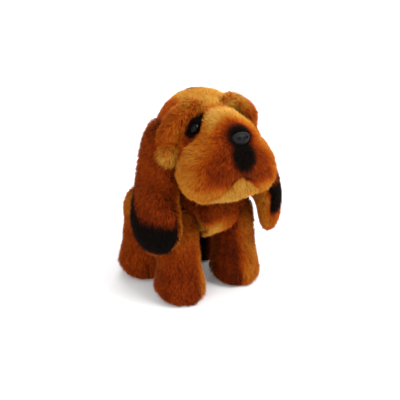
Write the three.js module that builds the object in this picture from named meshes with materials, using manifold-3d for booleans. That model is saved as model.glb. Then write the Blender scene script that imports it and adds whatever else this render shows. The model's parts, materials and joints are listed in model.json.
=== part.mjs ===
// A plush bloodhound puppy that stands on four legs.
// Millimetres, +Z up. The dog faces -Y and its left side is +X.
// The origin is on the floor, under the middle of the dog's box.
import * as THREE from "three";
import { mergeVertices } from "three/addons/utils/BufferGeometryUtils.js";
import Module from "manifold-3d";

const wasm = await Module();
wasm.setup();

// ---- Driving dimensions. While the dog is built, Y = 0 is the middle of the front legs. ----
const GAP = 0.3; // between pieces that touch
const CLEARANCE = 1; // between pieces that move past each other
const COVER = 4; // plush cloth with its pile combed flat
const SOLE = 3; // the flat cloth under a paw

const LEG_SIDE = 38; // middle of a leg from the dog's middle plane
const HIP_SIDE = 31; // the rear legs lean in at the top
const REAR_LEG = 74; // rear legs behind the front ones
const LEG_RADIUS = 22.5;
const PAW = { width: 30, length: 32, height: 22, forward: 6 }; // half sizes
const SHOULDER_HEIGHT = 84;
const HIP_HEIGHT = 80;

const CHEST_HEIGHT = 100;
const TORSO_WIDTH = 41; // half the width over the ribs

const SKULL_HEIGHT = 180;
const SKULL_RADIUS = 46;
const MUZZLE_REACH = 40; // middle of the muzzle in front of the legs
const MUZZLE_HEIGHT = 168;

const NECK = { pivot: new THREE.Vector3(0, 14, 134), radius: 30 };
const HEAD_TURN = -8; // degrees: at rest the dog looks a little to its right
const TURN_LIMIT = 15; // degrees the head turns to each side of straight ahead
const NOD_DOWN = 6;
const NOD_UP = 12;
const LEG_STRIDE = 12; // front legs swing forward and rear legs back
const LEG_CLOSE = 3; // and each a little the other way, before the paws meet
const TAIL_SWING = 25;
const TAIL_SWINGS = [-1, -0.5, 0.5, 1].map((share) => share * TAIL_SWING);

const EYE = { radius: 6, shank: 2, washer: 6.5 };
const NOSE = { width: 20, height: 15, depth: 12, shank: 2.5, washer: 7.5 };
const NOSTRIL = { radius: 1.6, side: 4.4, depth: 1.5 };

// ---- Soft forms: lumps melted together, read as a distance from their common surface ----

function lump(x, y, z, rx, ry = rx, rz = rx) {
  return { centre: new THREE.Vector3(x, y, z), radii: new THREE.Vector3(rx, ry, rz) };
}

// Close to the true distance near the lump's surface, and exact for a ball.
function lumpDistance(point, { centre, radii }) {
  const scaled = point.clone().sub(centre).divide(radii);
  const reach = scaled.length();
  const slope = scaled.divide(radii).length();
  return slope < 1e-9 ? -Math.min(...radii.toArray()) : (reach * (reach - 1)) / slope;
}

function smoothMin(a, b, blend) {
  const near = Math.max(blend - Math.abs(a - b), 0) / blend;
  return Math.min(a, b) - (near * near * blend) / 4;
}

const smoothMax = (a, b, blend) => -smoothMin(-a, -b, blend);

const melted = (lumps, blend) => (point) =>
  lumps.map((each) => lumpDistance(point, each)).reduce((a, b) => smoothMin(a, b, blend));

// The form with a dent that keeps it clear of another form.
const pressedBy = (form, other, clearance, blend = 2) => (point) =>
  smoothMax(form(point), clearance - other(point), blend);

const turnedForm = (form, pivot, axis, degrees) => (point) =>
  form(
    point
      .clone()
      .sub(pivot)
      .applyAxisAngle(axis, -THREE.MathUtils.degToRad(degrees))
      .add(pivot),
  );

const X = new THREE.Vector3(1, 0, 0);
const Z = new THREE.Vector3(0, 0, 1);
const at = (x, y, z) => new THREE.Vector3(x, y, z);

// ---- Solids ----

function solidOf(geometry) {
  const bare = geometry.clone();
  bare.deleteAttribute("normal");
  bare.deleteAttribute("uv");
  const merged = mergeVertices(bare, 1e-3);
  return new wasm.Manifold(
    new wasm.Mesh({
      numProp: 3,
      vertProperties: merged.attributes.position.array,
      triVerts: new Uint32Array(merged.index.array),
    }),
  );
}

function geometryOf(solid) {
  const mesh = solid.getMesh();
  const positions = new Float32Array(mesh.numVert * 3);
  for (let i = 0; i < mesh.numVert; i++) {
    const start = i * mesh.numProp;
    positions.set(mesh.vertProperties.subarray(start, start + 3), i * 3);
  }
  const geometry = new THREE.BufferGeometry();
  geometry.setAttribute("position", new THREE.BufferAttribute(positions, 3));
  geometry.setIndex(new THREE.BufferAttribute(mesh.triVerts.slice(), 1));
  geometry.computeVertexNormals();
  return geometry;
}

// A sphere's grid pushed out from the centre until it meets the form's surface, or the surface
// that lies `inset` under it. The stretch spreads the grid along a long form.
function shaped(form, { centre, stretch = at(1, 1, 1), around = 24, down = 16 }, inset = 0) {
  const FAR = 200;
  const STEPS = 26;
  const geometry = new THREE.SphereGeometry(1, around, down).rotateX(Math.PI / 2);
  const positions = geometry.attributes.position;
  const direction = new THREE.Vector3();
  for (let i = 0; i < positions.count; i++) {
    direction.fromBufferAttribute(positions, i).multiply(stretch).normalize();
    let low = 0;
    let high = FAR;
    for (let step = 0; step < STEPS; step++) {
      const middle = (low + high) / 2;
      const point = centre.clone().addScaledVector(direction, middle);
      if (form(point) + inset > 0) high = middle;
      else low = middle;
    }
    const point = centre.clone().addScaledVector(direction, low);
    positions.setXYZ(i, point.x, point.y, point.z);
  }
  return solidOf(geometry);
}

// Everything on the side of a plane that its normal points to.
function halfSpace(point, normal) {
  const SIZE = 600;
  const box = new THREE.BoxGeometry(SIZE, SIZE, SIZE).translate(0, 0, SIZE / 2);
  const facing = new THREE.Quaternion().setFromUnitVectors(Z, normal.clone().normalize());
  return solidOf(box.applyQuaternion(facing).translate(point.x, point.y, point.z));
}

function ballSolid(centre, radius, around = 14, down = 8) {
  const ball = new THREE.SphereGeometry(radius, around, down).rotateX(Math.PI / 2);
  return solidOf(ball.translate(centre.x, centre.y, centre.z));
}

// A round bar or disc that runs from a point along a direction.
function barSolid(start, direction, radius, length, sides = 10) {
  const bar = new THREE.CylinderGeometry(radius, radius, length, sides).translate(0, length / 2, 0);
  const facing = new THREE.Quaternion().setFromUnitVectors(at(0, 1, 0), direction);
  return solidOf(bar.applyQuaternion(facing).translate(start.x, start.y, start.z));
}

function turnedSolid(solid, pivot, axis, degrees) {
  const geometry = geometryOf(solid).translate(-pivot.x, -pivot.y, -pivot.z);
  const turn = new THREE.Quaternion().setFromAxisAngle(axis, THREE.MathUtils.degToRad(degrees));
  return solidOf(geometry.applyQuaternion(turn).translate(pivot.x, pivot.y, pivot.z));
}

// The room that a solid needs to swing between its limits.
function swept(solid, pivot, axis, limits) {
  return limits.reduce(
    (all, degrees) => all.add(turnedSolid(solid, pivot, axis, degrees)),
    solid,
  );
}

// ---- Materials and nodes ----

const material = (color, roughness, metalness = 0) =>
  new THREE.MeshStandardMaterial({ color, roughness, metalness });
const rustPlush = () => material(0x8a3c0c, 0.9);
const goldenPlush = () => material(0xb87424, 0.9);
const blackPlush = () => material(0x14110e, 0.9);
const stuffing = () => material(0xe8e4da, 1);
const blackPlastic = () => material(0x08080a, 0.2);
const whitePlastic = () => material(0xd8d8d4, 0.5);

// The head is built facing straight ahead, in a group that is turned about the neck.
const dog = new THREE.Group();
const head = new THREE.Group();
head.rotation.z = THREE.MathUtils.degToRad(HEAD_TURN);
head.position.copy(NECK.pivot).sub(NECK.pivot.clone().applyAxisAngle(Z, head.rotation.z));
dog.add(head);

function piece(name, solid, look, parent = dog) {
  const mesh = new THREE.Mesh(geometryOf(solid), look);
  mesh.name = name;
  parent.add(mesh);
}

const SIDES = [
  { side: 1, name: "left" },
  { side: -1, name: "right" },
];

// ---- Forms of the whole dog ----

const muzzleFront = -MUZZLE_REACH;
const headForm = melted(
  [
    lump(0, 12, SKULL_HEIGHT, SKULL_RADIUS + 1, SKULL_RADIUS, SKULL_RADIUS),
    lump(0, muzzleFront + 18, SKULL_HEIGHT + 6, 32, 36, 30),
    lump(0, muzzleFront - 9, MUZZLE_HEIGHT + 9, 32, 38, 35),
    lump(24.5, muzzleFront - 4, MUZZLE_HEIGHT - 9, 27, 35, 32),
    lump(-24.5, muzzleFront - 4, MUZZLE_HEIGHT - 9, 27, 35, 32),
    lump(0, muzzleFront - 12, MUZZLE_HEIGHT - 27, 24, 24, 15),
  ],
  10,
);
const HEAD_GRID = { centre: at(0, -12, 168), around: 20, down: 14 };

const legForm = (side, y, pivot) =>
  melted(
    [
      lump(pivot.x, pivot.y, pivot.z, LEG_RADIUS + 1),
      lump((pivot.x + side * LEG_SIDE) / 2, y, pivot.z - 34, LEG_RADIUS, LEG_RADIUS, 34),
      lump(side * LEG_SIDE, y - PAW.forward, PAW.height - 3, PAW.width, PAW.length, PAW.height),
    ],
    8,
  );

const HEAD_POSES = [-NOD_UP, 0, NOD_DOWN].flatMap((nod) =>
  [-TURN_LIMIT, 0, TURN_LIMIT].map((turn) => ({ nod, turn })),
);
const headAtLimits = HEAD_POSES.map(({ nod, turn }) =>
  turnedForm(turnedForm(headForm, NECK.pivot, X, nod), NECK.pivot, Z, turn),
);
const nearest = (forms) => (point) => Math.min(...forms.map((form) => form(point)));

const relaxedTorso = melted(
  [
    lump(0, 8, CHEST_HEIGHT, TORSO_WIDTH, 36, 38),
    lump(0, 40, CHEST_HEIGHT - 4, TORSO_WIDTH, 44, 36),
    lump(0, REAR_LEG + 2, CHEST_HEIGHT - 10, TORSO_WIDTH, 35, 36),
    lump(0, NECK.pivot.y + 4, NECK.pivot.z - 4, 32, 30, 28),
  ],
  14,
);
const torsoForm = pressedBy(relaxedTorso, nearest(headAtLimits), CLEARANCE, 4);
const TORSO_GRID = { centre: at(0, 40, 96), stretch: at(1, 1.3, 1), around: 18, down: 12 };

// ---- Legs: an outer and an inner panel, a sole and the stuffing ----

const floor = halfSpace(at(0, 0, 0), Z);
const aboveSole = halfSpace(at(0, 0, SOLE + GAP), Z);
const underSoleTop = halfSpace(at(0, 0, SOLE), at(0, 0, -1));

const LEGS = SIDES.flatMap(({ side, name }) => [
  {
    name: `front_${name}`,
    side,
    pivot: at(side * LEG_SIDE, 2, SHOULDER_HEIGHT),
    y: 0,
    limits: [-LEG_STRIDE, LEG_CLOSE],
  },
  {
    name: `rear_${name}`,
    side,
    pivot: at(side * HIP_SIDE, REAR_LEG + 2, HIP_HEIGHT),
    y: REAR_LEG,
    limits: [-LEG_CLOSE, LEG_STRIDE],
  },
]);
const LEG_MIDDLE = 52; // height of the leg's grid centre
for (const leg of LEGS) {
  leg.form = legForm(leg.side, leg.y, leg.pivot);
  leg.grid = {
    centre: at(leg.side * LEG_SIDE, leg.y, LEG_MIDDLE),
    stretch: at(1, 1, 1.5),
    around: 12,
    down: 8,
  };
  const outer = shaped(leg.form, leg.grid);
  leg.cover = outer.subtract(shaped(leg.form, leg.grid, COVER));
  leg.core = shaped(leg.form, leg.grid, COVER + GAP);
  leg.room = swept(shaped(leg.form, leg.grid, -2 * CLEARANCE), leg.pivot, X, leg.limits);
}

for (const { name, side, cover, core, form, grid } of LEGS) {
  const standing = cover.intersect(aboveSole);
  const outerHalf = halfSpace(at(side * (LEG_SIDE + GAP / 2), 0, 0), at(side, 0, 0));
  const innerHalf = halfSpace(at(side * (LEG_SIDE - GAP / 2), 0, 0), at(-side, 0, 0));
  piece(`leg_outer_${name}`, standing.intersect(outerHalf), rustPlush());
  piece(`leg_inner_${name}`, standing.intersect(innerHalf), rustPlush());
  piece(`sole_${name}`, shaped(form, grid).intersect(floor).intersect(underSoleTop), rustPlush());
  piece(`leg_stuffing_${name}`, core.intersect(aboveSole), stuffing());
}

// ---- Tail: two side panels over a soft core ----

const TAIL = { root: at(0, REAR_LEG + 33, 106), radius: 12 };
const tailForm = melted(
  [
    lump(0, TAIL.root.y, TAIL.root.z, TAIL.radius),
    lump(0, TAIL.root.y + 12, TAIL.root.z - 15, 10, 10, 14),
    lump(0, TAIL.root.y + 21, TAIL.root.z - 37, 8, 8, 18),
  ],
  6,
);
const TAIL_GRID = {
  centre: at(0, TAIL.root.y + 12, TAIL.root.z - 17),
  stretch: at(1, 1, 1.8),
  around: 8,
  down: 8,
};
const TAIL_COVER = 3;
const tailCover = shaped(tailForm, TAIL_GRID).subtract(shaped(tailForm, TAIL_GRID, TAIL_COVER));
for (const { side, name } of SIDES) {
  const half = halfSpace(at(side * GAP / 2, 0, 0), at(side, 0, 0));
  piece(`tail_cover_${name}`, tailCover.intersect(half), blackPlush());
}
piece("tail_stuffing", shaped(tailForm, TAIL_GRID, TAIL_COVER + GAP), stuffing());
const tailRoom = swept(shaped(tailForm, TAIL_GRID, -2 * CLEARANCE), TAIL.root, Z, TAIL_SWINGS);

// ---- Torso: back, sides, chest and belly panels over the stuffing and a bag of pellets ----

const neckRoom = ballSolid(NECK.pivot, NECK.radius + CLEARANCE, 20, 12);
const limbsRoom = LEGS.reduce((all, leg) => all.add(leg.room), tailRoom).add(neckRoom);
const torsoCover = shaped(torsoForm, TORSO_GRID)
  .subtract(shaped(torsoForm, TORSO_GRID, COVER))
  .subtract(limbsRoom);

const SADDLE_EDGE = 22; // the back panel's edge from the middle plane
const BELLY_EDGE = 20;
const BELLY_TOP = CHEST_HEIGHT - 18;
const CHEST_BACK = -6;
const inFront = halfSpace(at(0, CHEST_BACK, 0), at(0, -1, 0));
const behind = halfSpace(at(0, CHEST_BACK + GAP, 0), at(0, 1, 0));
const below = halfSpace(at(0, 0, BELLY_TOP), at(0, 0, -1));
const above = halfSpace(at(0, 0, BELLY_TOP + GAP), Z);
const between = (half) =>
  halfSpace(at(-half, 0, 0), X).intersect(halfSpace(at(half, 0, 0), at(-1, 0, 0)));

const rear = torsoCover.intersect(behind);
const biggest = (solid) =>
  solid.decompose().reduce((best, body) => (body.volume() > best.volume() ? body : best));
piece("chest_cover", biggest(torsoCover.intersect(inFront)), rustPlush());
piece("back_cover", biggest(rear.intersect(above).intersect(between(SADDLE_EDGE))), blackPlush());
piece("belly_cover", biggest(rear.intersect(below).intersect(between(BELLY_EDGE))), blackPlush());
for (const { side, name } of SIDES) {
  const outward = at(side, 0, 0);
  const besideBelly = halfSpace(at(side * (BELLY_EDGE + GAP), 0, 0), outward).intersect(
    halfSpace(at(0, 0, BELLY_TOP + GAP), at(0, 0, -1)),
  );
  const besideSaddle = halfSpace(at(side * (SADDLE_EDGE + GAP), 0, 0), outward).intersect(
    halfSpace(at(0, 0, BELLY_TOP), Z),
  );
  piece(`side_cover_${name}`, biggest(rear.intersect(besideBelly.add(besideSaddle))), rustPlush());
}

const PELLETS = { centre: at(0, REAR_LEG / 2, CHEST_HEIGHT - 20), radii: at(18, 20, 9) };
function pelletSolid(gap) {
  const ball = new THREE.SphereGeometry(1, 12, 8).scale(...PELLETS.radii.clone().addScalar(gap).toArray());
  return solidOf(ball.translate(...PELLETS.centre.toArray()));
}
const OPENING = 4; // across the way in that the bag was pushed through
const slit = barSolid(PELLETS.centre, at(0, 0, -1), OPENING / 2, CHEST_HEIGHT);
piece("pellet_bag", pelletSolid(0), material(0x9a9a94, 0.9));
piece(
  "torso_stuffing",
  shaped(torsoForm, TORSO_GRID, COVER + GAP)
    .subtract(limbsRoom)
    .subtract(pelletSolid(GAP))
    .subtract(slit),
  stuffing(),
);
piece("neck_stuffing", ballSolid(NECK.pivot, NECK.radius), stuffing());

// ---- Head: crown, side, muzzle and chin panels, eyes and nose with their washers ----

const headOuter = shaped(headForm, HEAD_GRID);

// Where a ray from a point inside the head leaves through the form's surface.
function onSurface(form, from, direction) {
  const CAUTION = 0.8; // the form's distance is not exact, so each step is a little shorter than it says
  const point = from.clone();
  for (let step = 0; step < 60; step++) point.addScaledVector(direction, -CAUTION * form(point));
  return point;
}

const FITTINGS = [
  ...SIDES.map(({ side, name }) => ({
    name: `eye_${name}`,
    washer: `eye_washer_${name}`,
    from: at(side * 8, muzzleFront + 30, SKULL_HEIGHT + 14),
    direction: at(side * 0.7, -0.68, 0.24).normalize(),
    radii: at(EYE.radius, EYE.radius, EYE.radius),
    shank: EYE.shank,
    washerRadius: EYE.washer,
  })),
  {
    name: "nose",
    washer: "nose_washer",
    from: at(0, muzzleFront, MUZZLE_HEIGHT + 22),
    direction: at(0, -0.9, 0.34).normalize(),
    radii: at(NOSE.width / 2, NOSE.height / 2, NOSE.depth / 2),
    shank: NOSE.shank,
    washerRadius: NOSE.washer,
  },
];

const SHANK_LENGTH = 15;
const WASHER_THICKNESS = 2;
let fittingRoom = null;
const fittings = [];
for (const fit of FITTINGS) {
  const seat = onSurface(headForm, fit.from, fit.direction);
  const inward = fit.direction.clone().negate();
  const facing = new THREE.Quaternion().setFromUnitVectors(Z, fit.direction);
  const dome = new THREE.SphereGeometry(1, 14, 8)
    .rotateX(Math.PI / 2)
    .scale(...fit.radii.toArray())
    .applyQuaternion(facing)
    .translate(seat.x, seat.y, seat.z);
  const shankStart = seat.clone().addScaledVector(fit.direction, 1);
  const shank = barSolid(shankStart, inward, fit.shank, SHANK_LENGTH);
  const washerStart = seat.clone().addScaledVector(inward, COVER + 2 * GAP + 1);
  const washer = barSolid(washerStart, inward, fit.washerRadius, WASHER_THICKNESS, 16).subtract(
    barSolid(washerStart, inward, fit.shank + GAP, WASHER_THICKNESS * 3),
  );
  const rim = barSolid(
    washerStart.clone().addScaledVector(inward, -GAP),
    inward,
    fit.washerRadius + GAP,
    WASHER_THICKNESS + 2 * GAP,
    16,
  );
  const room = barSolid(shankStart, inward, fit.shank + GAP, SHANK_LENGTH + GAP).add(rim);
  fittingRoom = fittingRoom ? fittingRoom.add(room) : room;
  fittings.push({ ...fit, seat, dome: solidOf(dome), shank, washerSolid: washer });
}

const headSkin = shaped(headForm, HEAD_GRID, -GAP);
for (const fit of fittings) {
  let face = fit.dome.subtract(headSkin).add(fit.shank);
  if (fit.name === "nose") {
    for (const { side } of SIDES) {
      const nostril = fit.seat
        .clone()
        .add(at(side * NOSTRIL.side, 0, 0))
        .addScaledVector(fit.direction, NOSE.depth / 2 - NOSTRIL.depth);
      face = face.subtract(barSolid(nostril, fit.direction, NOSTRIL.radius, NOSE.depth));
    }
  }
  piece(fit.name, biggest(face), blackPlastic(), head);
  piece(fit.washer, fit.washerSolid, whitePlastic(), head);
}

const headCover = headOuter
  .subtract(shaped(headForm, HEAD_GRID, COVER))
  .subtract(neckRoom)
  .subtract(fittingRoom);
const CROWN_HALF = 17;
const MUZZLE_BACK = muzzleFront + 20;
const LIP_HEIGHT = MUZZLE_HEIGHT - 28;
const muzzleSide = halfSpace(at(0, MUZZLE_BACK, SKULL_HEIGHT), at(0, -1, -0.25));
const skullSide = halfSpace(at(0, MUZZLE_BACK + GAP, SKULL_HEIGHT), at(0, 1, 0.25));
const overLip = halfSpace(at(0, 0, LIP_HEIGHT + GAP), Z);
const underLip = halfSpace(at(0, 0, LIP_HEIGHT), at(0, 0, -1));
const skullCover = headCover.intersect(skullSide);
const muzzleCover = headCover.intersect(muzzleSide);
piece("crown_cover", biggest(skullCover.intersect(between(CROWN_HALF))), goldenPlush(), head);
piece("chin_cover", biggest(muzzleCover.intersect(underLip)), goldenPlush(), head);
for (const { side, name } of SIDES) {
  const outward = at(side, 0, 0);
  const cheek = halfSpace(at(side * (CROWN_HALF + GAP), 0, 0), outward);
  const half = halfSpace(at(side * GAP / 2, 0, 0), outward);
  piece(`head_side_cover_${name}`, biggest(skullCover.intersect(cheek)), rustPlush(), head);
  piece(`muzzle_cover_${name}`, biggest(muzzleCover.intersect(overLip).intersect(half)), rustPlush(), head);
}
piece(
  "head_stuffing",
  biggest(shaped(headForm, HEAD_GRID, COVER + GAP).subtract(neckRoom).subtract(fittingRoom)),
  stuffing(),
  head,
);

// ---- Brow rolls: stuffed folds that run from the forehead down in front of the ears ----

const eyesRoom = fittings
  .map(({ seat, radii }) => ballSolid(seat, radii.x + GAP, 14, 10))
  .reduce((all, room) => all.add(room));

const browForm = (side) =>
  melted(
    [
      lump(side * 26, muzzleFront + 27, SKULL_HEIGHT + 36, 14, 14, 12),
      lump(side * 39, muzzleFront + 29, SKULL_HEIGHT + 22, 14, 14, 16),
      lump(side * 47, muzzleFront + 36, SKULL_HEIGHT, 12, 14, 17),
      lump(side * 49, muzzleFront + 40, SKULL_HEIGHT - 18, 10, 13, 13),
    ],
    8,
  );
for (const { side, name } of SIDES) {
  const roll = shaped(browForm(side), {
    centre: at(side * 38, muzzleFront + 22, SKULL_HEIGHT + 8),
    stretch: at(1, 1, 1.4),
    around: 10,
    down: 8,
  });
  piece(`brow_roll_${name}`, biggest(roll.subtract(headSkin).subtract(eyesRoom)), rustPlush(), head);
}

// ---- Ears: an outer panel and a lining, hinged at the seam on the side of the skull ----

const EAR = { middle: at(66.5, -17, 133), facing: 28 }; // degrees from sideways to forwards
const earForm = (side) =>
  turnedForm(
    melted(
      [
        lump(side * (EAR.middle.x - 16), EAR.middle.y + 13, EAR.middle.z + 45, 9, 12, 15),
        lump(side * (EAR.middle.x - 10), EAR.middle.y + 6, EAR.middle.z + 10, 12, 26, 42),
        lump(side * (EAR.middle.x + 3), EAR.middle.y, EAR.middle.z - 32, 12, 30, 36),
      ],
      16,
    ),
    at(side * EAR.middle.x, EAR.middle.y, 0),
    Z,
    -side * EAR.facing,
  );
// The torso and the legs, wherever they can stand as the ear sees them from the moving head.
const bodyFromHead = (side) => {
  const legs = LEGS.filter((leg) => leg.side === side).flatMap((leg) =>
    [0, ...leg.limits].map((degrees) => turnedForm(leg.form, leg.pivot, X, degrees)),
  );
  const body = nearest([relaxedTorso, ...legs]);
  return nearest(
    HEAD_POSES.map(({ nod, turn }) =>
      turnedForm(turnedForm(body, NECK.pivot, Z, -turn), NECK.pivot, X, -nod),
    ),
  );
};
for (const { side, name } of SIDES) {
  const neighbours = nearest([headForm, browForm(side), bodyFromHead(side)]);
  const form = pressedBy(earForm(side), neighbours, 2 * CLEARANCE, 5);
  const middle = at(side * EAR.middle.x, EAR.middle.y, EAR.middle.z);
  const ear = shaped(form, {
    centre: middle.clone().add(at(0, 5, 0)),
    stretch: at(0.6, 1, 2),
    around: 16,
    down: 14,
  });
  const facing = -side * THREE.MathUtils.degToRad(EAR.facing);
  const across = at(side, 0, 0.1).applyAxisAngle(Z, facing).normalize();
  piece(`ear_outer_${name}`, ear.intersect(halfSpace(middle, across)), rustPlush(), head);
  const inner = middle.clone().addScaledVector(across, -GAP);
  piece(`ear_lining_${name}`, ear.intersect(halfSpace(inner, across.clone().negate())), rustPlush(), head);
}

// ---- The origin goes to the middle of the box ----

const middleOfBox = new THREE.Box3().setFromObject(dog, true).getCenter(new THREE.Vector3());
dog.position.set(-middleOfBox.x, -middleOfBox.y, 0);

export default dog;
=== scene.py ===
"""The looks of a plush hound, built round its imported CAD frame.

Each sewn form of the dog is one closed skin, grown from the CAD covers and stuffing that it stands for. It
is evened out, pulled in by the height of its pile and then modelled by small moves: seams, lip, eye folds,
toes. Tapered fibres are rooted all over each skin and combed the way the coat lies. Skin and fibres wear the
same two materials, the coat and its black parts, and both take their colour from one ramp, from black through
mahogany and rust to pale gold. The eyes and the nose are moulded plastic.
"""

import json
import math

import bmesh
import bpy
import numpy as np
from mathutils import Matrix, Vector
from mathutils.bvhtree import BVHTree
from mathutils.kdtree import KDTree

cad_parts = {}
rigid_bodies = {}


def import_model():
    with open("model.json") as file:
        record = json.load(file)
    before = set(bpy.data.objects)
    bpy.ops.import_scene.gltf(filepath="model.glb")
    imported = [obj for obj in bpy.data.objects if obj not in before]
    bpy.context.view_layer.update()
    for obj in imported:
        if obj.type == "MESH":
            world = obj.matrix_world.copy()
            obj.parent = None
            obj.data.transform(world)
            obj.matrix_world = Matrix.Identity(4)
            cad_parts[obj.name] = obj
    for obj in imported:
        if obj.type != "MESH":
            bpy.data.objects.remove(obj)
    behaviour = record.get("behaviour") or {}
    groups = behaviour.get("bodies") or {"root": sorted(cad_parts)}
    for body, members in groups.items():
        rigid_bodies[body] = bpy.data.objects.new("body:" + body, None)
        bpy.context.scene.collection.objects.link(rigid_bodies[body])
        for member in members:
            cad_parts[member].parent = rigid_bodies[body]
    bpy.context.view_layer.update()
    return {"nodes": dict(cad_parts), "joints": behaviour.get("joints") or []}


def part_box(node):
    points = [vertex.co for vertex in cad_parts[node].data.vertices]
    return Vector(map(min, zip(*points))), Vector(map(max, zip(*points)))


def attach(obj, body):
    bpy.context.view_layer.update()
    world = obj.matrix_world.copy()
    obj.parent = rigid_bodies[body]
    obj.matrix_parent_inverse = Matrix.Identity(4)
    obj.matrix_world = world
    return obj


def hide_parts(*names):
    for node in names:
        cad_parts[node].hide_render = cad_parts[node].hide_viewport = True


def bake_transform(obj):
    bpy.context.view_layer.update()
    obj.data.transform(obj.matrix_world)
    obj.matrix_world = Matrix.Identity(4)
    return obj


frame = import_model()

MM = 0.001
GRAIN = 2.5 * MM  # voxel size that a skin is grown in
PILE_HEIGHT = 3.4 * MM  # how far the skin lies under the outline of the coat
TONE_MAP = "OFBake"  # the map whose first coordinate is a point's place on the coat's colour ramp
SIDES = {"left": 1, "right": -1}

# Places on the coat's colour ramp.
BLACK = 0.02
BROWN_BLACK = 0.16
DARK_MAHOGANY = 0.3
MAHOGANY = 0.42
RUST = 0.54
ORANGE = 0.68
GOLD = 0.82

# The ramp itself, as sRGB colours.
COAT_RAMP = (
    (0.00, "0b0806"),
    (0.10, "140a05"),
    (0.28, "551a04"),
    (0.42, "8c3006"),
    (0.56, "b24e08"),
    (0.70, "bc7420"),
    (0.84, "cc9638"),
    (1.00, "e8c480"),
)


# ---------------------------------------------------------------- small maths


def unit(v):
    """Vectors of length one, for one vector or for rows of them."""
    v = np.asarray(v, float)
    return v / np.maximum(np.linalg.norm(v, axis=-1, keepdims=True), 1e-12)


def soft_step(x, low, high):
    """0 below low, 1 above high, and a smooth rise between; high may be the lower of the two."""
    t = np.clip((x - low) / (high - low), 0, 1)
    return t * t * (3 - 2 * t)


def within(points, centre, radii, soft=0.35):
    """1 in an ellipsoid and 0 outside it, with a border that is a share of its radius wide."""
    reach = np.linalg.norm((points - centre) / np.asarray(radii, float), axis=1)
    return soft_step(reach, 1 + soft, 1 - soft)


def line_distance(points, start, end):
    """How far each point is from a straight line between two places."""
    start, along = np.asarray(start, float), np.subtract(end, start).astype(float)
    share = np.clip((points - start) @ along / (along @ along), 0, 1)
    return np.linalg.norm(points - start - share[:, None] * along, axis=1)


def crease(points, path, width):
    """1 on the line through those places, and 0 that width away from it."""
    near = np.min([line_distance(points, a, b) for a, b in zip(path, path[1:])], axis=0)
    return soft_step(near, width, 0)


def ripple(points, wavelength, seed):
    """A smooth wandering value from about -1 to 1 over space, the same for the same seed."""
    rng = np.random.default_rng(seed)
    directions = unit(rng.normal(size=(6, 3))) * (2 * math.pi / wavelength)
    return np.sin(points @ directions.T + rng.uniform(0, 2 * math.pi, 6)).sum(axis=1) / 3


def blended(a, b, share):
    """a where share is 0 and b where it is 1."""
    return a + (b - a) * share


# ---------------------------------------------------------------- places taken from the frame


def corners(*nodes):
    """Lowest and highest corner of the box round those CAD nodes."""
    boxes = [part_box(node) for node in nodes]
    return np.min([low for low, _ in boxes], axis=0), np.max([high for _, high in boxes], axis=0)


def middle(*nodes):
    low, high = corners(*nodes)
    return (low + high) / 2


def joint(name):
    return next(j for j in frame["joints"] if j["name"] == name)


def pivot(name):
    return np.array(joint(name)["pos_m"])


# At rest the head is turned a little to one side, so its left, its back and up are directions of its own.
NECK = pivot("neck_turn")
HEAD_LEFT = unit(joint("head_nod")["axis"])
HEAD_AXES = np.stack([HEAD_LEFT, np.cross([0, 0, 1], HEAD_LEFT), [0, 0, 1]])


def in_head(points):
    """Places as the head has them, in millimetres: left and back from the neck, and height over the floor."""
    return (points - NECK * [1, 1, 0]) @ HEAD_AXES.T / MM


def from_head(left, back, height):
    """The place in the frame that the head has there, in its own millimetres."""
    return np.array([left, back, height]) * MM @ HEAD_AXES + NECK * [1, 1, 0]


def head_way(left, back, up):
    """A direction that is given the head's own way."""
    return unit(np.array([left, back, up]) @ HEAD_AXES)


def mirrored(place):
    """The same places of the head, with those on its right side taken over to its left."""
    return np.column_stack([np.abs(place[:, 0]), place[:, 1:]])


WASHER_DEPTH = 6.6 * MM  # from the outline of the head in to the middle of a washer
NOSE_OUT = head_way(0, -0.9, 0.34)
NOSE = middle("nose_washer") + NOSE_OUT * WASHER_DEPTH
EYE_OUT = {side: head_way(0.7 * way, -0.68, 0.24) for side, way in SIDES.items()}
EYES = {side: middle(f"eye_washer_{side}") + EYE_OUT[side] * WASHER_DEPTH for side in SIDES}
FRONT_LEGS = (pivot("leg_front_left_swing") + pivot("leg_front_right_swing")) / 2


def in_body(points):
    """Places as the trunk has them, in millimetres: left and back from the front legs, and height."""
    return (points - FRONT_LEGS * [1, 1, 0]) / MM


# ---------------------------------------------------------------- meshes


def piece(name, mesh):
    """A named object of that mesh in the scene."""
    made = bpy.data.objects.new(name, mesh)
    bpy.context.scene.collection.objects.link(made)
    return made


def applied(made):
    """The piece with its modifiers worked into its mesh."""
    shown = made.evaluated_get(bpy.context.evaluated_depsgraph_get())
    mesh = bpy.data.meshes.new_from_object(shown)
    made.modifiers.clear()
    made.data = mesh
    return made


def points_of(made):
    flat = np.empty(len(made.data.vertices) * 3, np.float32)
    made.data.vertices.foreach_get("co", flat)
    return flat.reshape(-1, 3).astype(float)


def normals_of(made):
    flat = np.empty(len(made.data.vertices) * 3, np.float32)
    made.data.vertex_normals.foreach_get("vector", flat)
    return flat.reshape(-1, 3).astype(float)


def triangles_of(made):
    made.data.calc_loop_triangles()
    flat = np.empty(len(made.data.loop_triangles) * 3, np.int32)
    made.data.loop_triangles.foreach_get("vertices", flat)
    return flat.reshape(-1, 3)


def place_points(made, points):
    made.data.vertices.foreach_set("co", points.astype(np.float32).ravel())
    made.data.update()


def evened(made, rounds):
    """Evens a mesh out, a step inwards and a step outwards in turn so that the form keeps its size."""
    edges = np.empty(len(made.data.edges) * 2, np.int32)
    made.data.edges.foreach_get("vertices", edges)
    a, b = edges.reshape(-1, 2).T
    points = points_of(made)
    count = np.bincount(edges, minlength=len(points))[:, None]
    for step in (0.5, -0.53) * rounds:
        total = np.zeros_like(points)
        np.add.at(total, a, points[b])
        np.add.at(total, b, points[a])
        points += step * (total / count - points)
    place_points(made, points)


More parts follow.
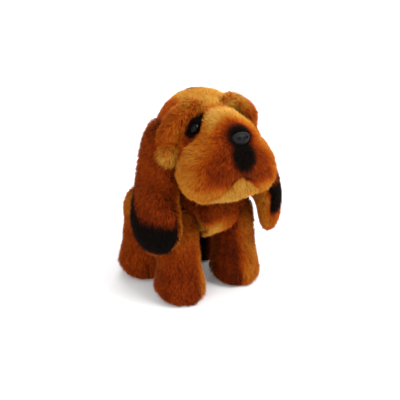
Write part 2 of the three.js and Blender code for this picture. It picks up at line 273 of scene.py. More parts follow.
def grown(name, nodes, rounds, lumps=()):
    """One smooth closed mesh round those CAD nodes and extra lumps, each a centre and its radii."""
    form = bmesh.new()
    for node in nodes:
        form.from_mesh(frame["nodes"][node].data)
    for centre, radii in lumps:
        shape = Matrix.Translation(centre) @ Matrix.Diagonal((*radii, 1))
        bmesh.ops.create_icosphere(form, subdivisions=3, radius=1, matrix=shape)
    mesh = bpy.data.meshes.new(name)
    form.to_mesh(mesh)
    form.free()
    made = piece(name, mesh)
    remesh = made.modifiers.new("voxels", "REMESH")
    remesh.mode = "VOXEL"
    remesh.voxel_size = GRAIN
    remesh.use_smooth_shade = True
    applied(made)
    evened(made, rounds)
    return made


# Three directions that aren't square to anything, to test what lies inside a form.
PROBES = [Vector(ray).normalized() for ray in ((0.2, 0.3, 1), (1, -0.4, 0.1), (-0.5, 1, -0.3))]

# How tightly a form is stuffed, from 0, slack, to 1, tight.
FIRM = 0.8
SOFT = 0.6
LIMP = 0.1  # two panels sewn together with nothing between them


class Skin:
    """A sewn form: its mesh, and what the pile needs to know of it."""

    def __init__(self, name, nodes, fill, inset=PILE_HEIGHT, rounds=24, sculpt=None, lumps=()):
        self.made = grown(name, nodes, rounds, lumps)
        self.pull_in(inset)
        if sculpt:
            place_points(self.made, sculpt(points_of(self.made), normals_of(self.made)))
            evened(self.made, 1)
        self.points = points_of(self.made)
        self.normals = normals_of(self.made)
        self.triangles = triangles_of(self.made)
        self.tree = BVHTree.FromPolygons(self.points.tolist(), self.triangles.tolist())
        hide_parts(*nodes)

    def pull_in(self, inset):
        """Moves the skin in by its pile's height, but leaves a sole down on the floor."""
        points, normals = points_of(self.made), normals_of(self.made)
        moves = normals * inset
        resting = soft_step(points[:, 2], 7 * MM, 2 * MM)
        moves[:, 2] *= 1 - resting
        place_points(self.made, points - moves)

    def holds(self, points, depth):
        """Which points lie deeper than that in the form: most rays from there meet its wall from behind."""
        low, high = self.points.min(axis=0), self.points.max(axis=0)
        inside = ((points > low) & (points < high)).all(axis=1)
        for i in np.flatnonzero(inside):
            start = Vector(points[i])
            hits = [self.tree.ray_cast(start, ray) for ray in PROBES]
            behind = sum(1 for hit, ray in zip(hits, PROBES) if hit[0] and hit[1].dot(ray) > 0)
            inside[i] = behind >= 2 and self.tree.find_nearest(start)[3] > depth
        return inside


# ---------------------------------------------------------------- materials


def linear(colour):
    """An sRGB colour such as "c08030", as the four linear numbers that a shader takes."""
    parts = [int(colour[i : i + 2], 16) / 255 for i in (0, 2, 4)]
    return [x / 12.92 if x <= 0.04045 else ((x + 0.055) / 1.055) ** 2.4 for x in parts] + [1]


class Look:
    """A node material with its shader at hand."""

    def __init__(self, name):
        self.material = bpy.data.materials.new(name)
        self.material.use_nodes = True
        self.tree = self.material.node_tree
        self.shader = self.tree.nodes["Principled BSDF"]

    def node(self, kind, **values):
        made = self.tree.nodes.new(kind)
        for key, value in values.items():
            if key in made.inputs:
                made.inputs[key].default_value = value
            else:
                setattr(made, key, value)
        return made

    def link(self, source, target):
        self.tree.links.new(source, target)

    def set(self, **values):
        for key, value in values.items():
            self.shader.inputs[key.replace("_", " ")].default_value = value

    def ramp(self, stops):
        made = self.node("ShaderNodeValToRGB")
        elements = made.color_ramp.elements
        for (at, colour), element in zip(stops, [elements[0], elements[1]] + [None] * len(stops)):
            element = element or elements.new(at)
            element.position = at
            element.color = linear(colour)
        return made


def coat_look(name, sheen):
    """Plush: the tone map walks the coat's ramp, and its second coordinate makes some fibres lighter."""
    look = Look(name)
    tone = look.node("ShaderNodeUVMap", uv_map=TONE_MAP)
    parts = look.node("ShaderNodeSeparateXYZ")
    ramp = look.ramp(COAT_RAMP)
    bright = look.node("ShaderNodeMapRange")
    bright.inputs["To Min"].default_value = 0.72
    bright.inputs["To Max"].default_value = 1.2
    mixed = look.node("ShaderNodeHueSaturation")
    look.link(tone.outputs["UV"], parts.inputs["Vector"])
    look.link(parts.outputs["X"], ramp.inputs["Fac"])
    look.link(parts.outputs["Y"], bright.inputs["Value"])
    look.link(bright.outputs["Result"], mixed.inputs["Value"])
    look.link(ramp.outputs["Color"], mixed.inputs["Color"])
    look.link(mixed.outputs["Color"], look.shader.inputs["Base Color"])
    look.set(Roughness=0.7, Sheen_Weight=sheen, Sheen_Roughness=0.4, Sheen_Tint=linear("ff9a38"))
    look.set(Specular_IOR_Level=0.04)
    return look.material


def plastic_look(name, dark, light, roughness, shine):
    """Moulded plastic: faint cloudiness in its colour and a fine pebbled skin."""
    look = Look(name)
    place = look.node("ShaderNodeTexCoord")
    cloud = look.node("ShaderNodeTexNoise", Scale=260.0, Detail=3.0)
    ramp = look.ramp(((0.35, dark), (0.7, light)))
    grain = look.node("ShaderNodeTexNoise", Scale=2200.0, Detail=1.0)
    bump = look.node("ShaderNodeBump", Strength=0.12, Distance=0.1 * MM)
    look.link(place.outputs["Object"], cloud.inputs["Vector"])
    look.link(place.outputs["Object"], grain.inputs["Vector"])
    look.link(cloud.outputs["Fac"], ramp.inputs["Fac"])
    look.link(ramp.outputs["Color"], look.shader.inputs["Base Color"])
    look.link(grain.outputs["Fac"], bump.inputs["Height"])
    look.link(bump.outputs["Normal"], look.shader.inputs["Normal"])
    look.set(Roughness=roughness, Specular_IOR_Level=shine)
    return look.material


COAT = coat_look("plush_coat", 0.4)
BLACK_COAT = coat_look("plush_black", 0.03)
EYE_PLASTIC = plastic_look("eye_plastic", "020202", "040404", 0.12, 0.1)
NOSE_PLASTIC = plastic_look("nose_plastic", "0b0b0c", "161518", 0.5, 0.14)
WASHER_PLASTIC = plastic_look("washer_plastic", "d8d5cc", "e6e3da", 0.45, 0.5)


# ---------------------------------------------------------------- pile


def write_tones(mesh, tones, shades):
    """Gives each corner of the mesh its place on the colour ramp, by its vertex."""
    corner_points = np.empty(len(mesh.loops), np.int32)
    mesh.loops.foreach_get("vertex_index", corner_points)
    layer = mesh.uv_layers.new(name=TONE_MAP)
    both = np.stack([np.clip(tones, 0.003, 0.997), np.clip(shades, 0.003, 0.997)], axis=1)
    layer.data.foreach_set("uv", both[corner_points].astype(np.float32).ravel())


def wear_coat(mesh, tones):
    """Gives the mesh its coat, which has less sheen on the faces whose tone is black."""
    mesh.materials.clear()
    mesh.materials.append(COAT)
    mesh.materials.append(BLACK_COAT)
    mesh.polygons.foreach_set("material_index", (tones < BROWN_BLACK).astype(np.int32))


def roots_on(skin, density, rng):
    """Points spread evenly over a skin, so many to a square millimetre, and the skin's normal at each."""
    a, b, c = (skin.points[skin.triangles[:, i]] for i in range(3))
    areas = np.linalg.norm(np.cross(b - a, c - a), axis=1) / 2
    total = np.cumsum(areas)
    count = int(total[-1] / MM**2 * density)
    chosen = np.searchsorted(total, (np.arange(count) + rng.random(count)) / count * total[-1])
    chosen = np.minimum(chosen, len(areas) - 1)
    u, v = rng.random((2, count, 1))
    u, v = np.where(u + v > 1, 1 - u, u), np.where(u + v > 1, 1 - v, v)
    roots = a[chosen] + u * (b - a)[chosen] + v * (c - a)[chosen]
    out = [skin.normals[skin.triangles[chosen, i]] for i in range(3)]
    return roots, unit(out[0] * (1 - u - v) + out[1] * u + out[2] * v)


def tufted(roots, tips, size, pull):
    """Draws the tips of neighbouring fibres together into tufts of about that many fibres."""
    leaders = np.arange(0, len(roots), size)
    tree = KDTree(len(leaders))
    for number, leader in enumerate(leaders):
        tree.insert(roots[leader], number)
    tree.balance()
    nearest = leaders[[tree.find(root)[1] for root in roots]]
    return tips + (tips[nearest] - tips) * pull


def fibres(name, roots, normals, tips, bends, width, tones, rng):
    """A mesh of tapered ribbons with a bend half way up. Tones are for the root, the bend and the tip."""
    count = len(roots)
    along = unit(tips - roots)
    side = unit(np.cross(along, normals))
    roll = rng.normal(0, 0.6, count)[:, None]
    side = unit(side * np.cos(roll) + np.cross(along, side) * np.sin(roll)) * width / 2
    corners_at = np.stack([roots - side, roots + side, bends + side * 0.8, bends - side * 0.8, tips], axis=1)
    face = unit(np.cross(along, side))
    face *= np.sign((face * normals).sum(axis=1, keepdims=True) + 1e-9)
    lit = unit(normals * 0.8 + face * 0.35 + rng.normal(0, 0.12, (count, 3)))
    outline = np.array([0, 1, 2, 3, 3, 2, 4])
    mesh = bpy.data.meshes.new(name)
    mesh.vertices.add(count * 5)
    mesh.vertices.foreach_set("co", corners_at.astype(np.float32).ravel())
    mesh.loops.add(count * 7)
    loops = np.arange(count)[:, None] * 5 + outline
    mesh.loops.foreach_set("vertex_index", loops.astype(np.int32).ravel())
    mesh.polygons.add(count * 2)
    starts = (np.arange(count)[:, None] * 7 + np.array([0, 4])).astype(np.int32)
    mesh.polygons.foreach_set("loop_start", starts.ravel())
    mesh.update(calc_edges=True)
    write_tones(
        mesh,
        np.stack([tones[0], tones[0], tones[1], tones[1], tones[2]], axis=1).ravel(),
        (rng.random(count)[:, None] * 0.9 + np.array([0.03, 0.07, 0.07, 0.03, 0.05])).ravel(),
    )
    mesh.normals_split_custom_set_from_vertices(np.repeat(lit, 5, axis=0).tolist())
    wear_coat(mesh, np.repeat(tones[1], 2))
    return piece(name, mesh)


MOST_FIBRES = 60000  # in one piece, which keeps each piece under 200,000 triangles
FLOOR_GAP = 0.3 * MM  # between the floor and the fibres under a sole


def pile(
    name,
    skin,
    tone,
    flow,
    hidden_by=(),
    density=2.4,
    length=7.0 * MM,
    width=0.5 * MM,
    curl=0.16,
    lie=0.6,
    seed=1,
):
    """Covers a skin in fibres. tone and flow are functions of place that give the coat's colour and lie.

    length is a number, or a function of the same kind.
    """
    rng = np.random.default_rng(seed)
    roots, normals = roots_on(skin, density, rng)
    shown = np.ones(len(roots), bool)
    for other in hidden_by:
        shown &= ~other.holds(roots, 1.5 * MM)
    roots, normals = roots[shown], normals[shown]
    count = len(roots)
    lengths = (length(roots, normals) if callable(length) else length) * rng.uniform(0.75, 1.15, count)
    swirl = np.stack([ripple(roots, 16 * MM, seed * 10 + i) for i in range(3)], axis=1)
    swirl += 0.7 * np.stack([ripple(roots, 6 * MM, seed * 10 + 3 + i) for i in range(3)], axis=1)
    combed = unit(flow(roots, normals)) + swirl * curl + rng.normal(0, 0.22, (count, 3))
    combed -= normals * (combed * normals).sum(axis=1, keepdims=True)
    combed = unit(combed)
    rise = 0.72 + 0.14 * rng.normal(size=count)[:, None]
    reach = lengths[:, None]
    tips = roots + reach * (normals * rise + combed * lie)
    tips = tufted(roots, tips, size=14, pull=0.3)
    bends = roots + reach * (normals * rise * 0.72 + combed * lie * 0.3)
    stands = skin.points[:, 2].min() < 5 * MM
    if stands:
        tips[:, 2] = np.maximum(tips[:, 2], FLOOR_GAP)
        bends[:, 2] = np.maximum(bends[:, 2], FLOOR_GAP)
    base = tone(roots, normals) + 0.03 * ripple(roots, 22 * MM, seed + 50)
    base += 0.03 * ripple(roots, 5 * MM, seed + 51)
    base += rng.normal(0, 0.025, count)
    # Each fibre is darker at the root and lighter at the tip, on top of the coat's tone: painted shade deep
    # in the pile and a painted rim light on the tips.
    spread = soft_step(base, 0.05, 0.35)
    tones = (base - 0.24 * spread, base - 0.04 * spread, base + 0.13 * spread)
    made = []
    parts = math.ceil(count / MOST_FIBRES)
    for part in range(parts):
        own = slice(part, None, parts)
        label = name if parts == 1 else f"{name}_{part + 1}"
        own_tones = [each[own] for each in tones]
        made.append(fibres(label, roots[own], normals[own], tips[own], bends[own], width, own_tones, rng))
    # painted shade: the skin under the pile takes a darker tone than the coat over it
    under = tone(skin.points, skin.normals) - 0.12
    write_tones(skin.made.data, under, np.full(len(under), 0.4))
    first = np.array([face.vertices[0] for face in skin.made.data.polygons])
    wear_coat(skin.made.data, under[first])
    return made


# ---------------------------------------------------------------- head


NOSE_PLACE = in_head(NOSE)
EYE_PLACE = in_head(EYES["left"])  # the right one is its mirror image
LIP_TOP = NOSE_PLACE[2] - 38  # where the two jowls part
LIP = [(-27, LIP_TOP - 25), (-10, LIP_TOP - 6), (0, LIP_TOP), (10, LIP_TOP - 6), (27, LIP_TOP - 25)]
MUZZLE_BACK = NOSE_PLACE[1] + 32  # the lip and the chin lie in front of this


def lip_share(place):
    """1 in the crease where the jowls hang over the chin."""
    return crease(place[:, [0, 2]], LIP, 4.5) * soft_step(place[:, 1], MUZZLE_BACK, MUZZLE_BACK - 12)


def chin_share(place):
    """1 on the chin that shows under and between the jowls."""
    edge = LIP_TOP - 0.9 * np.abs(place[:, 0])
    return soft_step(place[:, 2], edge + 1, edge - 3) * soft_step(place[:, 1], MUZZLE_BACK, MUZZLE_BACK - 12)


def eye_groove(place):
    """1 in the fold that runs from the bridge past an eye and down the cheek behind the jowl."""
    across, back, height = EYE_PLACE
    path = [(across - 9, back + 4, height + 8), (across, back, height), (across + 5, back + 3, height - 10)]
    path += [(across + 13, back + 1, height - 23), (across + 16, back + 4, height - 40)]
    return crease(mirrored(place), path, 8)


def eye_slit(place):
    """1 round the black lids of an eye."""
    slit = [EYE_PLACE + [9, 2, -12], EYE_PLACE, EYE_PLACE + [-8, 4, 8]]
    return soft_step(crease(mirrored(place), slit, 13), 0.2, 0.6)


def eye_clearing(place):
    """1 on the side of the muzzle in front of an eye, where the coat is clipped so that the eye shows."""
    return within(mirrored(place), EYE_PLACE + [-3, -8, -2], (13, 17, 18), 0.6)


def stop_fold(place):
    """1 in the soft valley between the forehead and the bridge of the muzzle."""
    across, back, height = EYE_PLACE
    path = [(0, back + 4, height + 16), (across - 12, back + 6, height + 12)]
    path += [(across - 4, back + 6, height + 4)]
    return crease(mirrored(place), path, 9)


WASHERS = {"nose_washer": NOSE_OUT} | {f"eye_washer_{side}": EYE_OUT[side] for side in SIDES}
CLOTH_OVER_WASHER = 1.5 * MM


def over_washers(points):
    """Lifts the cloth until it lies in front of the washers of the eyes and the nose."""
    for node, out in WASHERS.items():
        washer = frame["nodes"][node]
        rim = np.array([washer.matrix_world @ corner.co for corner in washer.data.vertices]) - middle(node)
        front = (rim @ out).max() + CLOTH_OVER_WASHER
        radius = np.linalg.norm(rim - (rim @ out)[:, None] * out, axis=1).max()
        offset = points - middle(node)
        depth = offset @ out
        across = np.linalg.norm(offset - depth[:, None] * out, axis=1)
        near = soft_step(across, radius + 5 * MM, radius + 1.5 * MM) * (depth > -12 * MM)
        points = points + (np.clip(front - depth, 0, None) * near)[:, None] * out
    return points


def head_form(points, normals):
    """A fuller bridge, the folds beside the eyes, a seam down from the nose and the lip over the chin."""
    place = in_head(points)
    move = -3 * eye_groove(place) - 2 * stop_fold(place) - 2.5 * eye_clearing(place)
    for way in SIDES.values():
        bridge = (13 * way, NOSE_PLACE[1] + 24, NOSE_PLACE[2] + 4)
        move += 4 * within(place, bridge, (15, 26, 16), 0.6)
        jowl = (31 * way, NOSE_PLACE[1] + 14, LIP_TOP - 14)
        move += 2.5 * within(place, jowl, (18, 24, 16), 0.7)
    seam = [(0, NOSE_PLACE[2]), (0, LIP_TOP)]
    move -= 1.6 * crease(place[:, [0, 2]], seam, 3) * (place[:, 1] < MUZZLE_BACK)
    move -= 3.5 * lip_share(place) + 1.5 * chin_share(place)
    move -= 2 * chin_share(place) * crease(place[:, [0, 2]], [(3, LIP_TOP - 8), (6, LIP_TOP - 26)], 4)
    return over_washers(points + normals * move[:, None] * MM)


HEAD_NODES = [
    "crown_cover",
    "chin_cover",
    "head_side_cover_left",
    "head_side_cover_right",
    "muzzle_cover_left",
    "muzzle_cover_right",
    "head_stuffing",
]
head_skin = Skin("head_skin", HEAD_NODES, FIRM, sculpt=head_form)


def brow_tuft(way):
    """The lower end of a brow fold, which stands out over the cheek."""
    return from_head(47 * way, -25, NOSE_PLACE[2] - 34), np.array([11, 11, 14]) * MM


def brow_form(points, normals):
    """Draws the top of a brow fold in over the crown, and keeps it clear of the eye."""
    place = in_head(points)
    outward = HEAD_LEFT * np.sign(place[:, [0]])
    share = soft_step(place[:, 2], NOSE_PLACE[2] - 10, NOSE_PLACE[2] + 20)[:, None]
    lid = within(mirrored(place), EYE_PLACE, (12, 16, 16), 0.5)[:, None]
    drawn_in = share * (outward * 5 + HEAD_AXES[2] * 2) * MM
    clear_of_eye = lid * (outward * 5 + HEAD_AXES[1] * 4) * MM
    return points - drawn_in + clear_of_eye


brow_skins = {
    side: Skin(
        f"brow_skin_{side}",
        [f"brow_roll_{side}"],
        SOFT,
        inset=2 * MM,
        rounds=10,
        sculpt=brow_form,
        lumps=[brow_tuft(way)],
    )
    for side, way in SIDES.items()
}


def head_flow(points, normals):
    """The coat runs back from the nose, and down on the cheeks and jowls."""
    return unit(points - NOSE) + np.array([0, 0, -0.45])


def head_tone(points, normals):
    """Gold on the crown, dark round the nose and lighter to the muzzle's edges, with a black stripe below."""
    place = in_head(points)
    across, back, height = np.abs(place[:, 0]), place[:, 1], place[:, 2]
    front = place[:, [0, 2]]
    nose_back, nose_height = NOSE_PLACE[1], NOSE_PLACE[2]

    off_centre = place[:, 0] + 2.5  # the dark of the muzzle lies a little to its right
    start = 10 + 18 * soft_step(height, LIP_TOP + 32, LIP_TOP + 4)
    edge = soft_step(np.abs(off_centre), start, start + 16)
    bridge = soft_step(back + 0.6 * np.maximum(off_centre, 0), nose_back + 9, nose_back + 26)
    bridge *= soft_step(height, nose_height - 8, nose_height + 6)
    rim = soft_step(height, LIP_TOP - 4, LIP_TOP - 17)
    muzzle = blended(MAHOGANY - 0.04, ORANGE - 0.02, np.maximum(edge, rim))
    muzzle = blended(muzzle, GOLD - 0.02, bridge)
    muzzle = blended(muzzle, GOLD - 0.04, chin_share(place))
    # painted shade in the crease where the jowls hang over the chin
    muzzle -= 0.16 * lip_share(place)

    crown = soft_step(np.abs(place[:, 0] - 5), 34, 22) * soft_step(height, nose_height - 14, nose_height)
    skull = blended(MAHOGANY + 0.06, GOLD - 0.05, crown)
    nape = soft_step(across, 11, 5) * soft_step(back, 0, 8)
    skull = blended(skull, BLACK, nape)

    tone = blended(skull, muzzle, soft_step(back, nose_back + 56, nose_back + 44))
    # painted shade in the folds beside the eyes and in the valley between the forehead and the bridge
    groove = eye_groove(place) * soft_step(height, nose_height - 38, nose_height - 20)
    tone = blended(tone, DARK_MAHOGANY - 0.04, groove)
    tone = blended(tone, RUST, stop_fold(place) * 0.9)
    tone = blended(tone, BLACK, eye_slit(place))
    patch = np.maximum(
        within(place, NOSE_PLACE + [0, 0, -1], (12, 13, 10), 0.35),
        within(front, (0, nose_height - 18), (10, 15), 0.4) * (back < nose_back + 16),
    )
    return blended(tone, BLACK, patch)


def brow_flow(points, normals):
    """The folds are brushed down and outwards."""
    outward = np.sign(in_head(points)[:, [0]]) * HEAD_LEFT
    return outward * 0.5 + np.array([0, 0, -1.0])


def brow_tone(points, normals):
    place = in_head(points)
    tone = np.full(len(points), RUST)
    top = soft_step(place[:, 2], NOSE_PLACE[2] + 8, NOSE_PLACE[2] + 24)
    tuft = soft_step(place[:, 2], NOSE_PLACE[2] - 20, NOSE_PLACE[2] - 34)
    tone = blended(tone, ORANGE + 0.06, np.maximum(top, tuft))
    # painted light: gold on the inner face of the left brow only, on its upper part
    inner = soft_step(place[:, 0], -10, 10) * soft_step(place[:, 0], 50, 38)
    tone = blended(tone, GOLD - 0.04, inner * soft_step(place[:, 2], NOSE_PLACE[2] + 4, NOSE_PLACE[2] + 20))
    return blended(tone, BLACK, eye_slit(place))


def head_length(points, normals):
    """Short round the nose and clipped by the eyes, longest on the cheeks."""
    reach = np.linalg.norm(points - NOSE, axis=1) / MM
    clipped = 1 - 0.6 * eye_clearing(in_head(points))
    return blended(2.5, 7.0, soft_step(reach, 9, 24)) * clipped * MM


def brow_length(points, normals):
    """Short by the eye."""
    return 7.5 * (1 - 0.5 * eye_slit(in_head(points))) * MM


pile("head_pile", head_skin, head_tone, head_flow, brow_skins.values(), length=head_length, seed=3)
for number, (side, brow) in enumerate(brow_skins.items()):
    pile(f"brow_pile_{side}", brow, brow_tone, brow_flow, [head_skin], length=brow_length, seed=11 + number)


# ---------------------------------------------------------------- torso and neck


TORSO_NODES = [
    "chest_cover",
    "back_cover",
    "belly_cover",
    "side_cover_left",
    "side_cover_right",
    "torso_stuffing",
    "pellet_bag",
]
LEGS = [f"{end}_{side}" for end in ("front", "rear") for side in SIDES]


def leg_nodes(leg):
    return [f"leg_outer_{leg}", f"leg_inner_{leg}", f"sole_{leg}", f"leg_stuffing_{leg}"]


CHEST_EDGE = 78  # height of the chest's lower edge in front


def torso_form(points, normals):
    """A chest that is full enough to hang over the tops of the front legs."""
    place = in_body(points)
    full = soft_step(place[:, 1], 8, -8) * soft_step(place[:, 2], CHEST_EDGE - 4, CHEST_EDGE + 6)
    full *= soft_step(place[:, 2], CHEST_EDGE + 50, CHEST_EDGE + 20)
    wide = 1 + 2.2 * soft_step(np.abs(place[:, 0]), 8, 26)
    return points + np.array([0, -1, -0.2]) * (3.6 * full * wide)[:, None] * MM


PAW_CENTRES = {leg: in_body(middle(f"sole_{leg}"))[0] for leg in LEGS}


def toes(place, leg):
    """1 in the two stitched lines between the toes."""
    centre = PAW_CENTRES[leg]
    lines = [[(centre + way * 9, 0), (centre + way * 7, 20)] for way in (1, -1)]
    near = np.max([crease(place[:, [0, 2]], line, 3.2) for line in lines], axis=0)
    reach = in_body(pivot(f"leg_{leg}_swing"))[1]
    return near * soft_step(place[:, 1], reach - 16, reach - 24)


def leg_form(leg):
    """Toes, the seam down the front where two panels meet, and a top tucked back under the chest."""

    def form(points, normals):
        place = in_body(points)
        seam = crease(place[:, [0, 2]], [(PAW_CENTRES[leg], 24), (PAW_CENTRES[leg], 80)], 2.5)
        move = 2.6 * toes(place, leg) + 0.8 * seam
        tucked = soft_step(place[:, 2], 70, 92) * soft_step(place[:, 1], 0, -10)
        return points + (HEAD_AXES[1] * 7 * tucked[:, None] - normals * move[:, None]) * MM

    return form


torso_skin = Skin("torso_skin", TORSO_NODES, SOFT, sculpt=torso_form)
neck_skin = Skin("neck_skin", ["neck_stuffing"], SOFT, inset=2 * MM)
leg_skins = {
    leg: Skin(f"leg_skin_{leg}", leg_nodes(leg), FIRM, inset=2.6 * MM, sculpt=leg_form(leg)) for leg in LEGS
}


def torso_flow(points, normals):
    return np.tile([0, 0.35, -1.0], (len(points), 1))


def torso_tone(points, normals):
    place = in_body(points)
    across, back, height = np.abs(place[:, 0]), place[:, 1], place[:, 2]
    tone = MAHOGANY - 0.04 + 0.06 * soft_step(across, 20, 6)
    fringe = soft_step(height, CHEST_EDGE + 22, CHEST_EDGE + 9) * soft_step(across, 36, 22)
    # painted shade on the chest's left side: its gold fringe mostly fades there, and low down it turns darker
    fringe *= 1 - 0.8 * soft_step(place[:, 0], -9, 9)
    shaded = soft_step(place[:, 0], 14, 26) * soft_step(height, 106, 96)
    tone = blended(tone, DARK_MAHOGANY - 0.1, shaded)
    tone = blended(tone, ORANGE + 0.09, fringe * soft_step(back, -4, -12))
    saddle = soft_step(across, 28, 20) * soft_step(height, 96, 104)
    belly = soft_step(height, 84, 74) * soft_step(back, -14, -8)
    return blended(tone, BLACK, np.maximum(saddle * soft_step(back, -4, 6), belly))


def neck_tone(points, normals):
    return np.full(len(points), DARK_MAHOGANY)


torso_hidden = [neck_skin, *leg_skins.values()]
pile("torso_pile", torso_skin, torso_tone, torso_flow, torso_hidden, seed=21)
pile("neck_pile", neck_skin, neck_tone, torso_flow, [torso_skin, head_skin], density=1.0, seed=25)


# ---------------------------------------------------------------- legs


def leg_flow(points, normals):
    return np.tile([0, -0.2, -1.0], (len(points), 1))


def leg_tone(leg):
    """Mahogany, with a painted light that turns the left side of the front legs to orange and painted shade
    inside the left front leg, and black inside the rear ones.
    """
    side = SIDES[leg.split("_")[1]]

    def tone_at(points, normals):
        place = in_body(points)
        left = place[:, 0] - PAW_CENTRES[leg]
        tone = blended(MAHOGANY - 0.04, RUST, soft_step(place[:, 2], 46, 84))
        if leg.startswith("front"):
            # painted shade inside the left front leg, on the side that faces the other leg
            tone = blended(tone, DARK_MAHOGANY, soft_step(left * side, -4, -12) * (side > 0))
            # painted light down the left side of both front legs, where the key light falls, brighter lower
            # down
            border = (-12, 0) if side > 0 else (2, 13)
            lit = soft_step(left, *border) * soft_step(place[:, 2], 94, 80)
            tone = blended(tone, RUST + 0.03 + 0.06 * soft_step(place[:, 2], 62, 44), lit)
        else:
            tone = blended(tone + 0.04, BLACK, soft_step(left * side, 2, -8))
        return tone - 0.2 * toes(place, leg)

    return tone_at


for number, (leg, skin) in enumerate(leg_skins.items()):
    pile(f"leg_pile_{leg}", skin, leg_tone(leg), leg_flow, [torso_skin], seed=31 + number)


# ---------------------------------------------------------------- ears


EAR_REAR = max(in_head(np.array(corner))[1] for corner in corners("ear_outer_left"))


def ear_root(way):
    """The gathered top of an ear, before ear_form draws it in to the head."""
    return from_head(54 * way, -8, 178), np.array([9, 18, 18]) * MM


def ear_form(points, normals):
    """Draws the top of an ear in against the side of the head and back, and curls its front edge in."""
    place = in_head(points)
    share = soft_step(place[:, 2], 120, 185)[:, None]
    way = np.sign(place[:, [0]])
    edge = soft_step(place[:, 1], EAR_REAR - 30, EAR_REAR - 64) * soft_step(place[:, 2], 72, 90)
    edge = (edge * soft_step(place[:, 2], 170, 140))[:, None]
    points = points - edge * (HEAD_LEFT * way * 5 + HEAD_AXES[1] * 7) * MM
    return points + share * (HEAD_LEFT * way * -10 + HEAD_AXES[1] * 12 + HEAD_AXES[2] * 3) * MM


ear_skins = {
    side: Skin(
        f"ear_skin_{side}",
        [f"ear_outer_{side}", f"ear_lining_{side}"],
        LIMP,
        inset=2.5 * MM,
        rounds=12,
        sculpt=ear_form,
        lumps=[ear_root(way)],
    )
    for side, way in SIDES.items()
}


def ear_flow(points, normals):
    return np.tile([0, 0, -1.0], (len(points), 1))


BANDS = {"left": (98, 124), "right": (71, 106)}  # heights of the black band's two edges


def ear_tone(side):
    """Mahogany outside with a black band that climbs the rear edge, and lighter on the lining."""
    low_edge, high_edge = BANDS[side]

    def tone_at(points, normals):
        place = in_head(points)
        back, height = place[:, 1], place[:, 2]
        outside = soft_step((normals @ HEAD_AXES.T)[:, 0] * SIDES[side], -0.8, -0.5)
        tone = blended(MAHOGANY - 0.02, MAHOGANY - 0.06, soft_step(height, 160, 110))
        tone = blended(tone, RUST, soft_step(height, low_edge + 4, low_edge - 4))
        top = high_edge + 26 * soft_step(back, EAR_REAR - 24, EAR_REAR - 2)
        band = soft_step(height, low_edge - 1, low_edge + 4) * soft_step(height, top + 7, top - 6)
        tone = blended(tone, BLACK, band)
        return blended(ORANGE - 0.06, tone, outside)

    return tone_at


for number, (side, skin) in enumerate(ear_skins.items()):
    pile(f"ear_pile_{side}", skin, ear_tone(side), ear_flow, seed=41 + number)


# ---------------------------------------------------------------- tail


TAIL_NODES = ["tail_cover_left", "tail_cover_right", "tail_stuffing"]
tail_skin = Skin("tail_skin", TAIL_NODES, SOFT, inset=3 * MM, rounds=10)


def tail_tone(points, normals):
    return np.full(len(points), BLACK)


pile("tail_pile", tail_skin, tail_tone, ear_flow, [torso_skin], seed=51)


# ---------------------------------------------------------------- eyes and nose


def rounded(name, centre, radii, out, material, shape=None):
    """A smooth moulded form round a centre. radii are across, up and outwards, in millimetres."""
    mesh = bpy.data.meshes.new(name)
    form = bmesh.new()
    bmesh.ops.create_icosphere(form, subdivisions=5, radius=1)
    form.to_mesh(mesh)
    form.free()
    mesh.shade_smooth()
    made = piece(name, mesh)
    ball = points_of(made)
    if shape:
        ball = shape(ball)
    across = unit(np.cross(out, [0, 0, 1]))
    upward = np.cross(across, out)
    axes = np.stack([across * radii[0], upward * radii[1], out * radii[2]]) * MM
    place_points(made, ball @ axes + centre)
    mesh.materials.append(material)
    return made


EYE_SINK = 2 * MM  # how deep the middle of an eye lies under the outline of the head
EYE_RADIUS = 6  # in millimetres, like all the radii that rounded takes
for side in SIDES:
    place = EYES[side] - EYE_OUT[side] * EYE_SINK
    eye = rounded(f"eye_bead_{side}", place, [EYE_RADIUS] * 3, EYE_OUT[side], EYE_PLASTIC)
    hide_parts(f"eye_{side}")
    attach(eye, "head")


def nose_shape(ball):
    """Wide above and narrow below, with two nostrils and a groove down the middle."""
    across, up, out = ball.T
    across = across * (1 + 0.2 * up)
    shaped = np.stack([across, up, out], axis=1)
    for way in (1, -1):
        hole = within(shaped, [0.45 * way, 0.05, 0.85], [0.2, 0.17, 0.5], 0.5)
        shaped[:, 2] -= 0.4 * hole
    groove = soft_step(np.abs(across), 0.14, 0.02) * soft_step(up, 0.25, -0.1) * (out > 0)
    shaped[:, 2] -= 0.18 * groove
    return shaped


NOSE_SINK = 1 * MM  # how deep the middle of the nose lies under the outline of the head
NOSE_DROP = 3 * MM  # how far it is let down from the place straight in front of its washer
NOSE_RADII = (9.5, 6.5, 5.5)
nose_place = NOSE - NOSE_OUT * NOSE_SINK - HEAD_AXES[2] * NOSE_DROP
nose = rounded("nose_moulding", nose_place, NOSE_RADII, NOSE_OUT, NOSE_PLASTIC, nose_shape)
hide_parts("nose")
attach(nose, "head")
for node in WASHERS:
    frame["nodes"][node].data.materials.clear()
    frame["nodes"][node].data.materials.append(WASHER_PLASTIC)


# ---------------------------------------------------------------- bodies


def coat(form, which=""):
    """The skin and the pile of a form, such as "leg" and "front_left"."""
    names = tuple(f"{form}_{layer}{which and '_' + which}" for layer in ("skin", "pile"))
    return [made for made in bpy.context.scene.objects if made.name.startswith(names)]


def bend(form, which):
    """That cloth crosses a joint. Its place is worked into its mesh, and it is put on neither body."""
    for made in coat(form, which):
        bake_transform(made)


for form in ("head", "torso", "neck"):
    for made in coat(form):
        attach(made, form)
for side in SIDES:
    for made in coat("brow", side):
        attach(made, "head")
    bend("ear", side)
for leg in LEGS:
    bend("leg", leg)
bend("tail", "")


# ---------------------------------------------------------------- floor, light and camera


FLOOR_REACH = 40  # metres from its middle to an edge, far outside the main view
LIT_PLACE = Vector((0, 0, 0.12))  # what the lights point at, about half way up the dog


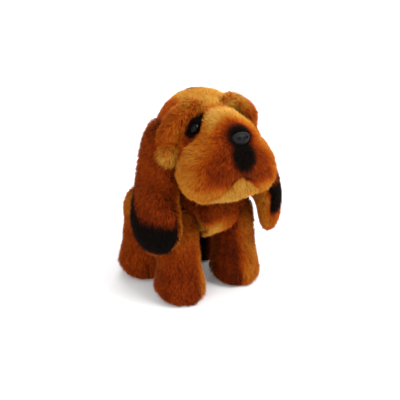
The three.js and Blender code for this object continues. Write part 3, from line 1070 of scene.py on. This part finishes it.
def pale_floor():
    look = Look("pale_floor")
    look.set(Base_Color=linear("f4f4f4"), Roughness=0.9, Specular_IOR_Level=0.1)
    mesh = bpy.data.meshes.new("floor")
    around = ((-1, -1), (1, -1), (1, 1), (-1, 1))
    mesh.from_pydata([(x * FLOOR_REACH, y * FLOOR_REACH, 0) for x, y in around], [], [(0, 1, 2, 3)])
    mesh.materials.append(look.material)
    piece("floor", mesh)


def soft_light(name, at, power, size):
    """A square studio light that faces the dog."""
    data = bpy.data.lights.new(name, "AREA")
    data.energy, data.size = power, size
    lamp = bpy.data.objects.new(name, data)
    bpy.context.scene.collection.objects.link(lamp)
    lamp.location = at
    lamp.rotation_euler = (LIT_PLACE - Vector(at)).to_track_quat("-Z", "Y").to_euler()


def studio():
    world = bpy.data.worlds.new("studio")
    world.use_nodes = True
    background = world.node_tree.nodes["Background"].inputs
    background["Color"].default_value = linear("ffffff")
    background["Strength"].default_value = 0.9
    bpy.context.scene.world = world
    bpy.context.scene.view_settings.view_transform = "Standard"
    soft_light("key", (0.5, -0.9, 1.4), 22, 0.9)
    soft_light("fill", (-1.1, -0.8, 0.8), 7, 1.0)
    soft_light("back", (0.6, 1.1, 1.2), 14, 0.9)


def main_camera():
    """Looks down a little on the dog's front right quarter, from a metre away."""
    turn, lift, away = math.radians(-36), math.radians(24), 1.0
    seen_width = 432 * MM  # of the view, at the dog
    back = Vector((math.sin(turn) * math.cos(lift), -math.cos(turn) * math.cos(lift), math.sin(lift)))
    facing = (-back).to_track_quat("-Z", "Y")
    chest = Vector((FRONT_LEGS[0], FRONT_LEGS[1] - 2 * MM, 110 * MM))
    shift = Vector((7 * MM, 4.9 * MM, 0))  # how far right of and above the view's middle the chest is seen
    aim = chest - facing @ shift
    data = bpy.data.cameras.new("camera")
    data.sensor_width = 36
    data.lens = data.sensor_width * away / seen_width
    camera = bpy.data.objects.new("camera", data)
    bpy.context.scene.collection.objects.link(camera)
    camera.location = aim + back * away
    camera.rotation_mode = "QUATERNION"
    camera.rotation_quaternion = facing
    bpy.context.scene.camera = camera


pale_floor()
studio()
main_camera()
